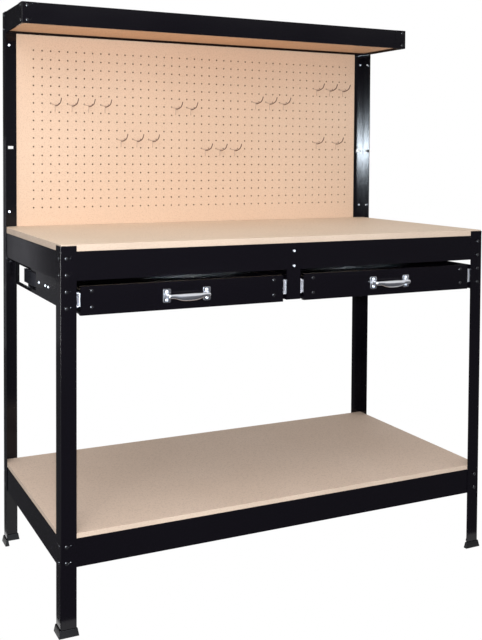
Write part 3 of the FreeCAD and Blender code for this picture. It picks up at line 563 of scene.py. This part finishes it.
# %% [markdown]
# ## Folded steel with soft edges
#
# Sheet steel is never sharp. A fold has the radius of the press, and powder coat rounds every
# cut edge. One Bevel modifier would round both alike, so the folds get a wider bevel first. A
# fold is told from a cut edge by the two faces beside it: both are wide. The punch leaves a
# rounder rim at the keyholes of the legs and posts. Its faces take the rivets' finish, which is a
# little greyer than the frame's, as a painted highlight where the rim catches the light.

# %% Find folds and rims
FOLD_ANGLE = math.radians(75)
FOLD_LENGTH = 0.004
FOLD_WIDTH = 0.006
RIM_LENGTH = 0.012
RIM_FACE = 0.002


def is_fold(edge):
    """An edge between two steeply set faces, both wider than the sheet is thick."""
    if len(edge.link_faces) != 2 or edge.calc_face_angle() < FOLD_ANGLE:
        return False
    length = edge.calc_length()
    if length <= FOLD_LENGTH:
        return False
    return min(face.calc_area() / length for face in edge.link_faces) > FOLD_WIDTH


def is_outer_fold(edge):
    return is_fold(edge) and edge.is_convex


def is_inner_fold(edge):
    return is_fold(edge) and not edge.is_convex


def is_rim(edge, centre):
    """An edge of a keyhole on an outer face. A keyhole's edges are short."""
    if len(edge.link_faces) != 2 or not edge.is_convex or edge.calc_length() > RIM_LENGTH:
        return False
    wide = max(edge.link_faces, key=lambda face: face.calc_area())
    outer = wide.normal.dot(wide.calc_center_median() - centre) > 0
    return outer and wide.calc_area() > RIM_FACE


print("a fold turns by", round(math.degrees(FOLD_ANGLE)), "degrees or more")

# %% Soften the steel
RIM = 0.0009


def softened(name, width=0.0004, fold=0.0018):
    """A copy of a node with its folds rounded and its sharp edges broken."""
    piece = linked("soft", nodes[name].data.copy())
    centre = (low(name) + high(name)) / 2
    bpy.ops.mesh.customdata_custom_splitnormals_clear()
    bpy.ops.object.mode_set(mode="EDIT")
    bpy.ops.mesh.select_all(action="SELECT")
    bpy.ops.mesh.remove_doubles(threshold=WELD)
    bpy.ops.mesh.dissolve_limited(angle_limit=math.radians(1))
    if fold:
        for test in (is_inner_fold, is_outer_fold):
            select_edges(piece, test)
            bpy.ops.mesh.bevel(offset=fold, segments=4, affect="EDGES", clamp_overlap=True)
    if name.startswith(("front_leg", "rear_post")):
        select_edges(piece, lambda edge: is_rim(edge, centre))
        bpy.ops.mesh.bevel(offset=RIM, segments=3, affect="EDGES", clamp_overlap=True)
        # The rims take the greyer rivet finish as a painted highlight.
        piece.data.materials.append(rivet_coat_and_rim_highlight)
        piece.active_material_index = 1
        bpy.ops.object.material_slot_assign()
    bpy.ops.object.mode_set(mode="OBJECT")
    modify(piece, "BEVEL", limit_method="ANGLE", angle_limit=math.radians(60), width=width,
           segments=2)
    smooth(piece, 50)
    modify(piece, "WEIGHTED_NORMAL", keep_sharp=True)
    return settle(piece, name)


STEEL = [name for name in nodes if finish_for(name) is black_coat
         and not name.endswith(("_rivets", "_fasteners"))]
SLIDES = [name for name in nodes if name.endswith(("_outer", "_middle", "_inner"))]
for name in STEEL:
    softened(name)
for name in SLIDES:
    softened(name, width=0.0002, fold=0.0008)
print("softened", len(STEEL), "steel pieces and", len(SLIDES), "slide members")

# %% [markdown]
# ## Boards with sanded edges
#
# A board has no folds. Its edges are broken with sandpaper, which a narrow bevel copies. The
# faces that stand upright are the sawn ones. The feet are moulded and get a narrow bevel too.

# %% Soften the boards and the feet
for name in ("worktop", "lower_shelf", "upper_shelf_board"):
    board = softened(name, width=0.0008, fold=0)
    board.data.materials.append(sawn_edge)
    for face in board.data.polygons:
        if abs(face.normal.z) < 0.5:
            face.material_index = 1
for name in nodes:
    if name.startswith("foot_"):
        softened(name, width=0.0006, fold=0)
print("boards and feet softened")

# %% [markdown]
# ## The pegboard
#
# The plain solid carries only some of the holes. The real board has 43 columns and 19 rows, 25
# millimetres apart. A Boolean could cut all 817 holes, but it is slow and leaves long thin
# faces. So one square cell with a round hole is modelled and repeated across and up, and the
# plain border is drawn out from its edges. Solidify gives the sheet its thickness.

# %% Measure the pegboard
PITCH = 0.025
HOLE = 0.0025
HOLE_CORNERS = 8
COLUMNS = 43
ROWS = 19
LEFT_MARGIN = 0.087
LOWEST_ROW = 0.955
UPRIGHT = (math.pi / 2, 0, 0)
board_low = low("pegboard")
board_high = high("pegboard")
board_wall = board_high.y - board_low.y
first_hole = Vector((LEFT_FACE + LEFT_MARGIN, board_low.y, LOWEST_ROW))


def repeated(piece):
    """Across the columns, then up the rows."""
    for step, count in (((PITCH, 0, 0), COLUMNS), ((0, 0, PITCH), ROWS)):
        modify(piece, "ARRAY", use_relative_offset=False, use_constant_offset=True,
               constant_offset_displace=step, count=count, use_merge_vertices=True,
               merge_threshold=WELD)


print("holes", COLUMNS * ROWS, "in a sheet", round(board_wall * 1000, 1), "mm thick")

# %% Drill the pegboard
bpy.ops.object.select_all(action="DESELECT")
bpy.ops.mesh.primitive_circle_add(vertices=HOLE_CORNERS, radius=HOLE, fill_type="NOTHING",
                                  location=first_hole, rotation=UPRIGHT)
pegboard = bpy.context.active_object
bpy.ops.object.transform_apply(location=True, rotation=True, scale=True)
bpy.ops.object.mode_set(mode="EDIT")
bpy.ops.mesh.select_all(action="SELECT")
bpy.ops.mesh.extrude_region_move()
edit = bmesh.from_edit_mesh(pegboard.data)
for vert in edit.verts:
    if vert.select:
        away = vert.co - first_hole
        vert.co = first_hole + away * (PITCH / 2 / max(abs(away.x), abs(away.z)))
bmesh.update_edit_mesh(pegboard.data)
bpy.ops.object.mode_set(mode="OBJECT")
repeated(pegboard)
print("drilled part", len(pegboard.data.polygons), "faces")

# %% Draw out the border and thicken the sheet
bpy.ops.object.mode_set(mode="EDIT")
SIDES = ((0, min, board_low.x), (0, max, board_high.x),
         (2, min, board_low.z), (2, max, board_high.z))
for axis, extreme, border in SIDES:
    edit = bmesh.from_edit_mesh(pegboard.data)
    level = extreme(vert.co[axis] for vert in edit.verts)
    select_edges(pegboard, lambda edge: all(abs(vert.co[axis] - level) < WELD
                                            for vert in edge.verts))
    move = [0, 0, 0]
    move[axis] = border - level
    bpy.ops.mesh.extrude_region_move(TRANSFORM_OT_translate={"value": move})
bpy.ops.mesh.select_all(action="SELECT")
bpy.ops.mesh.remove_doubles(threshold=WELD)
bpy.ops.object.mode_set(mode="OBJECT")
outward(pegboard)
modify(pegboard, "SOLIDIFY", thickness=board_wall, offset=0)
sheet_low = min(vert.co.y for vert in pegboard.data.vertices)
pegboard.data.transform(Matrix.Translation((0, board_low.y - sheet_low, 0)))
outward(pegboard)
settle(pegboard, "pegboard", peg_board)
print("pegboard", len(pegboard.data.polygons), "faces")

# %% Shade the holes
bpy.ops.object.select_all(action="DESELECT")
bpy.ops.mesh.primitive_circle_add(vertices=HOLE_CORNERS, radius=HOLE, fill_type="NGON",
                                  location=first_hole + Vector((0, board_wall / 2, 0)),
                                  rotation=UPRIGHT)
discs = bpy.context.active_object
discs.name = "pegboard_hole_shade"
bpy.ops.object.transform_apply(location=True, rotation=True, scale=True)
repeated(discs)
discs.data.materials.append(hole_shade)
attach(discs, "frame")
print("hole shades", len(discs.data.polygons))

# %% [markdown]
# ## Where the small solids sit
#
# A node of rivets, bolts or screws holds many separate solids. Their places could be written
# down again, but then they would be left behind when the bench changes. Walking from corner to
# corner finds each solid instead. Its corners lie on a few levels along its own axis, and that
# tells the axis, the seat, the crown and the radius of the head.

# %% Find the small solids
SAME_LEVEL = 0.00002


def loose_parts(name):
    """The separate solids of a node, each as a list of its corners."""
    mesh = bmesh.new()
    mesh.from_mesh(nodes[name].data)
    bmesh.ops.remove_doubles(mesh, verts=mesh.verts, dist=WELD)
    left = set(mesh.verts)
    parts = []
    while left:
        reached = [left.pop()]
        part = []
        while reached:
            vert = reached.pop()
            part.append(vert.co.copy())
            fresh = {edge.other_vert(vert) for edge in vert.link_edges} & left
            left -= fresh
            reached += fresh
        parts.append(part)
    mesh.free()
    return sorted(parts, key=lambda part: [round(min(co[axis] for co in part), 4)
                                           for axis in range(3)])


def stud_of(part):
    """Axis, levels from crown to tip, the middle, and how far corners reach at each level."""
    spans = [sorted({round(co[axis], 5) for co in part}) for axis in range(3)]
    axis = min(range(3), key=lambda index: len(spans[index]))
    centre = Vector([(spans[index][0] + spans[index][-1]) / 2 for index in range(3)])

    def reach(level):
        near = [co - centre for co in part if abs(co[axis] - level) < SAME_LEVEL]
        return max(math.hypot(*[gap[other] for other in range(3) if other != axis])
                   for gap in near)

    levels = spans[axis]
    if reach(levels[0]) <= reach(levels[-1]):
        levels = levels[::-1]
    return axis, levels, centre, [reach(level) for level in levels]


print("table rivets", len(loose_parts("table_rivets")))

# %% [markdown]
# ## Round heads
#
# Rivets, bolts and screws are turned pieces. A primitive cylinder with a bevel comes close, but
# a drawn half section gives the shank, the shoulder and the crown at once, and a Screw modifier
# takes it round. One of each is modelled, then copied to every place.

# %% Turn a head
AXIS_WELD = 0.000001
RIM_SHARE = 0.2
ARCH_STEPS = 4


def turned(name, half_section, sides):
    """A round piece about Z, from corners given as distance from the axis and height."""
    mesh = bpy.data.meshes.new(name)
    corners = [(reach, 0, height) for reach, height in half_section]
    mesh.from_pydata(corners, [(step, step + 1) for step in range(len(corners) - 1)], [])
    piece = linked(name, mesh)
    modify(piece, "SCREW", steps=sides, render_steps=sides, use_merge_vertices=True,
           merge_threshold=AXIS_WELD)
    outward(piece)
    smooth(piece, 50)
    return piece


def head_section(radius, rise, flat):
    """A low dome: a short straight rim, a round shoulder and a slightly flat crown."""
    rim = rise * RIM_SHARE
    angles = [math.pi / 2 * step / ARCH_STEPS for step in range(ARCH_STEPS + 1)]
    arch = [(radius * (flat + (1 - flat) * math.cos(angle)), rim + (rise - rim) * math.sin(angle))
            for angle in angles]
    return [(radius, 0)] + arch + [(0, rise)]


def headed(name, radius, rise, shank, flat, core, neck, sides):
    """A domed head on its shank. The core and the neck are shares of the head's radius."""
    shaft = [(0, -shank), (radius * core, -shank), (radius * neck, 0)]
    return turned(name, shaft + head_section(radius, rise, flat), sides)


print("a head's arch has", ARCH_STEPS, "steps")

# %% Copy a piece to its places
def copied(master, places):
    """Copies of one piece, each turned to face its way and moved to its place, as one object."""
    twins = []
    for place, facing in places:
        twin = master.copy()
        twin.data = master.data.copy()
        scene.collection.objects.link(twin)
        twin.data.transform(Matrix.Translation(place) @ turned_to(facing))
        twins.append(twin)
    return joined(twins)


def along(axis, sign=1):
    """A direction along one axis."""
    facing = Vector((0, 0, 0))
    facing[axis] = sign
    return facing


def nut_at(axis, levels, centre, radius):
    """A six-sided nut with broken corners."""
    bpy.ops.object.select_all(action="DESELECT")
    bpy.ops.mesh.primitive_cylinder_add(vertices=6, radius=radius,
                                        depth=abs(levels[0] - levels[1]))
    nut = bpy.context.active_object
    modify(nut, "BEVEL", width=0.0005, segments=2, limit_method="ANGLE",
           angle_limit=math.radians(70))
    smooth(nut, 30)
    nut.data.transform(Matrix.Translation(centre) @ turned_to(along(axis)))
    return nut


def replace_heads(node, finish, make_head):
    """Every head of a node, by size, and every nut, as one piece."""
    groups = {}
    nuts = []
    for part in loose_parts(node):
        axis, levels, centre, reaches = stud_of(part)
        if len(levels) == 2:
            nuts.append((axis, levels, centre, reaches[0]))
            continue
        place = centre.copy()
        place[axis] = levels[1]
        size = (round(reaches[1], 4), round(abs(levels[0] - levels[1]), 4))
        shank = abs(levels[1] - levels[-1])
        facing = along(axis, 1 if levels[0] > levels[-1] else -1)
        groups.setdefault(size, []).append((place, facing, shank))
    pieces = []
    for size, found in sorted(groups.items()):
        master = make_head(*size, found[0][2])
        pieces.append(copied(master, [(place, facing) for place, facing, shank in found]))
        bpy.data.objects.remove(master)
    pieces += [nut_at(*nut) for nut in nuts]
    return settle(joined(pieces), node, finish)


print("copying tools ready")

# %% [markdown]
# ## Rivets
#
# The frame's rivets hold it at the worktop, at the lower shelf and at the upper shelf, and
# smaller ones hold each drawer's front. Their heads are low domes, a little greyer than the
# frame.

# %% Rivets
def rivet(radius, rise, shank):
    return headed("rivet", radius, rise, shank, flat=0.35, core=0.5, neck=0.5, sides=12)


for node in ("table_rivets", "lower_rivets", "shelf_rivets", "left_drawer_fasteners",
             "right_drawer_fasteners"):
    replace_heads(node, rivet_coat_and_rim_highlight, rivet)
print("rivets replaced")

# %% [markdown]
# ## Bolts and screws
#
# The bolts have bright domed heads and six-sided nuts. The screws have a cross cut in the head:
# two thin blocks are taken out of it with a Boolean, as a punch would sink them.

# %% Bolts and screws
def bolt(radius, rise, shank):
    return headed("bolt", radius, rise, shank, flat=0.2, core=0.5, neck=0.54, sides=24)


def cross_screw(radius, rise, shank):
    """A pan head with a cross recess."""
    screw = headed("screw", radius, rise, shank, flat=0.45, core=0.45, neck=0.5, sides=24)
    for angle in (0, math.pi / 2):
        cutter = block((radius * 1.1, radius * 0.26, rise * 1.1), (0, 0, rise), angle)
        modify(screw, "BOOLEAN", operation="DIFFERENCE", solver="EXACT", object=cutter)
        bpy.data.objects.remove(cutter)
    smooth(screw, 40)
    return screw


for node in ("pegboard_bolts", "middle_channel_bolts"):
    replace_heads(node, bolt_zinc, bolt)
replace_heads("slide_screws", bolt_zinc, cross_screw)
for node in ("left_handle_screws", "right_handle_screws"):
    replace_heads(node, zinc, cross_screw)
print("bolts and screws replaced")

# %% [markdown]
# ## Swept bars
#
# A handle and a hook are both a round bar along a path. Such a bar could be extruded ring by
# ring, but a smooth curve with a bevel keeps its section round in every bend, and it may thicken
# on its way. At the end it becomes a mesh.

# %% Sweep a bar
def swept(name, stations, radius, roundness):
    """A round bar along a smooth path. A station is a place and its share of the radius."""
    curve = bpy.data.curves.new(name, "CURVE")
    curve.dimensions = "3D"
    curve.bevel_depth = radius
    curve.bevel_resolution = roundness
    curve.use_fill_caps = True
    spline = curve.splines.new("NURBS")
    spline.points.add(len(stations) - 1)
    for point, (place, share) in zip(spline.points, stations):
        point.co = (*place, 1)
        point.radius = share
    spline.order_u = 3
    spline.use_endpoint_u = True
    spline.resolution_u = 6
    linked(name, curve)
    bpy.ops.object.convert(target="MESH")
    piece = bpy.context.active_object
    outward(piece)
    smooth(piece, 60)
    return piece


print("sweeping ready")

# %% [markdown]
# ## Handles
#
# Each handle is a bow with a full grip, on two rounded plates. The neck flares where it meets
# its plate. Half the bow is written as stations, each with its radius, and the other half
# mirrors it. The bow sags a little at the grip, and it is deeper than it is thick.

# %% Model the handles
PLATE_WIDTH = 0.020
PLATE_RISE = 0.033
PLATE_WALL = 0.0015
PLATE_CORNER = 0.004
GRIP = 0.0075
BEND = 0.012
SAG = 0.0025
SWELL = 1.3


def handle(node):
    lowest, highest = low(node), high(node)
    centre = (lowest + highest) / 2
    post = (highest.x - lowest.x - PLATE_WIDTH) / 2
    face = highest.y
    line = lowest.y + GRIP

    def station(along, out, radius):
        sag = SAG * (radius / GRIP) ** 2 if abs(along) < post * 0.6 else 0
        return Vector((centre.x + along, out, centre.z - sag)), radius / GRIP

    half = [(post, face, 0.0070), (post, face - 0.003, 0.0068), (post, face - 0.006, 0.0046),
            (post, line + 0.004, 0.0040), (post, line, 0.0040), (post - 0.004, line, 0.0040),
            (post - BEND - 0.004, line, 0.0044), (post * 0.5, line, 0.0062),
            (post * 0.25, line, GRIP)]
    stations = [station(*values) for values in half]
    stations += [station(-along, out, radius) for along, out, radius in half[::-1]]
    bow = swept("bow", stations, GRIP, 5)
    level = Matrix.Translation((0, 0, centre.z))
    bow.data.transform(level @ Matrix.Diagonal((1, 1, SWELL, 1)) @ level.inverted())
    pieces = [bow]
    for side in (-1, 1):
        plate = block((PLATE_WIDTH, PLATE_WALL, PLATE_RISE),
                      (centre.x + side * post, face - PLATE_WALL / 2, centre.z))
        bpy.ops.object.mode_set(mode="EDIT")
        select_edges(plate, lambda edge: abs(edge.verts[0].co.y - edge.verts[1].co.y)
                     > PLATE_WALL / 2)
        bpy.ops.mesh.bevel(offset=PLATE_CORNER, segments=5, affect="EDGES")
        bpy.ops.object.mode_set(mode="OBJECT")
        modify(plate, "BEVEL", width=0.0005, segments=3, limit_method="ANGLE",
               angle_limit=math.radians(60))
        smooth(plate, 50)
        pieces.append(plate)
    return settle(joined(pieces), node, chrome)


for node in ("left_drawer_handle", "right_drawer_handle"):
    print(node, len(handle(node).data.polygons), "faces")

# %% [markdown]
# ## Hooks
#
# A hook is bent wire: it leans on the board across one pitch, with a stem that steadies it, and
# its arm swings forward and up. The arm is darker than the bar behind it: the bar and the stem
# carry a painted reflection of the board, and the arm, which stands out from it, a painted dark
# reflection. One hook is modelled and copied to every hook's place. Its
# stations are millimetres from the hole that it hangs in: to the right, out of the board and up.

# %% Model a hook
WIRE = 0.0014
PLAIN_WIRE = 0.0015


def hook_bar(stations, radius, finish):
    bar = swept("wire", [(Vector((x, -out, up)) / 1000, 1) for x, out, up in stations], radius, 1)
    bar.data.materials.append(finish)
    return bar


# The bar and the stem carry the painted board reflection, the arm the painted dark one.
bar = hook_bar([(0, -3.9, 0), (0, 0, 0), (0, 1.8, -0.5), (12.5, 1.8, -4), (25, 1.8, -1)],
               WIRE * 0.8, wire_painted_board_reflection)
stem = hook_bar([(12.5, 1.8, -3), (12.5, 1.8, -24)], WIRE * 0.7, wire_painted_board_reflection)
arm = hook_bar([(13, 3, -6), (15, 9, -6.5), (19, 20, -3), (21.5, 30, 3), (22.5, 34, 15)],
               WIRE, wire_painted_dark_reflection)
hook = joined([stem, arm, bar])
print("hook", len(hook.data.polygons), "faces")

# %% Hang the hooks
hook_places = []
for part in loose_parts("pegboard_hooks"):
    lowest = Vector([min(co[axis] for co in part) for axis in range(3)])
    column = round((lowest.x + PLAIN_WIRE - first_hole.x) / PITCH)
    row = round((lowest.z + PITCH - first_hole.z) / PITCH)
    hook_places.append((first_hole + Vector((column * PITCH, 0, row * PITCH)), UP))
hooks = copied(hook, hook_places)
bpy.data.objects.remove(hook)
settle(hooks, "pegboard_hooks")
print("hooks", len(hook_places), "with", len(hooks.data.polygons), "faces")

# %% [markdown]
# ## The floor
#
# A plain sheet lies under the feet. It lights the bench from below as a pale floor does, and is
# white where it is seen, as the room is. It is staging, not part of the bench.

# %% Lay the floor
bpy.ops.object.select_all(action="DESELECT")
bpy.ops.mesh.primitive_plane_add(size=30, location=(0, 0, 0))
floor = bpy.context.active_object
floor.name = "floor"
floor_material, tree = new_material("floor_white")
paint = add(tree, "BsdfDiffuse", Color=(0.86, 0.86, 0.87, 1))
glow = add(tree, "Emission", Strength=1.0)
finish_with(tree, white_to_see(tree, paint, glow))
floor.data.materials.append(floor_material)
print("floor laid")

# %% [markdown]
# ## Dark cards
#
# Glossy black paint mirrors the room. A darker world would keep it black, but it would dim the
# boards too. So dark cards stand around the bench, as in a studio, and are seen in reflections
# only. A narrow paler one stands behind the left side, because the side rail mirrors something
# grey towards its rear end.

# %% Stand the cards
CARD_WALL = 0.001


def card(name, lowest, highest, grey):
    """A flat card between two corners. Its two corners share one coordinate."""
    size = [max(after - before, CARD_WALL) for before, after in zip(lowest, highest)]
    piece = block(size, [(before + after) / 2 for before, after in zip(lowest, highest)])
    piece.name = name
    material, tree = new_material(name)
    finish_with(tree, add(tree, "Emission", Color=(grey, grey, grey * 1.08, 1), Strength=1.0))
    piece.data.materials.append(material)
    piece.visible_camera = False
    piece.visible_diffuse = False
    piece.visible_shadow = False
    piece.visible_transmission = False


card("front_card", (-3.0, -5.6, 0.0), (6.5, -5.6, 2.6), 0.17)
card("front_floor_card", (-0.9, -5.6, 0.004), (6.5, -0.36, 0.004), 0.13)
card("left_card", (-3.5, 3.0, 0.36), (-0.7, 3.0, 2.4), 0.04)
card("left_grey_card", (-1.35, 2.99, 0.36), (-1.21, 2.99, 1.2), 0.36)
card("left_low_card", (-3.5, 2.98, 0.0), (-0.7, 2.98, 0.36), 0.13)
card("left_floor_card", (-3.5, -0.36, 0.004), (-0.62, 3.0, 0.004), 0.06)
card("rear_card", (-0.7, 3.0, 0.0), (4.5, 3.0, 1.6), 0.05)

# %% [markdown]
# ## Link the two glinting lamps
#
# Bare board is matt, and a strong glint at a low angle would bleach it. A weaker lamp would lose
# the highlights on the steel. Light linking keeps both: the glint falls on a collection that
# leaves out the boards with the shade in their holes, the hooks, the floor and the cards. The
# strip falls on the front legs, whose folds it draws, and on the middle channel with its bolts.

# %% Link the lamps
MATT = {peg_board, worktop_board, lower_board, upper_board_painted_shade, sawn_edge, wire_painted_board_reflection, hole_shade}
shiny = bpy.data.collections.new("shiny_pieces")
for piece in scene.objects:
    if piece.type == "MESH" and not piece.name.endswith("_card") and piece is not floor:
        if not MATT & set(piece.data.materials):
            shiny.objects.link(piece)
glint.light_linking.receiver_collection = shiny
front_folds = bpy.data.collections.new("front_folds")
for piece in shiny.objects:
    if piece.name.startswith(("dressed_front_leg", "dressed_middle_channel")):
        front_folds.objects.link(piece)
strip.light_linking.receiver_collection = front_folds
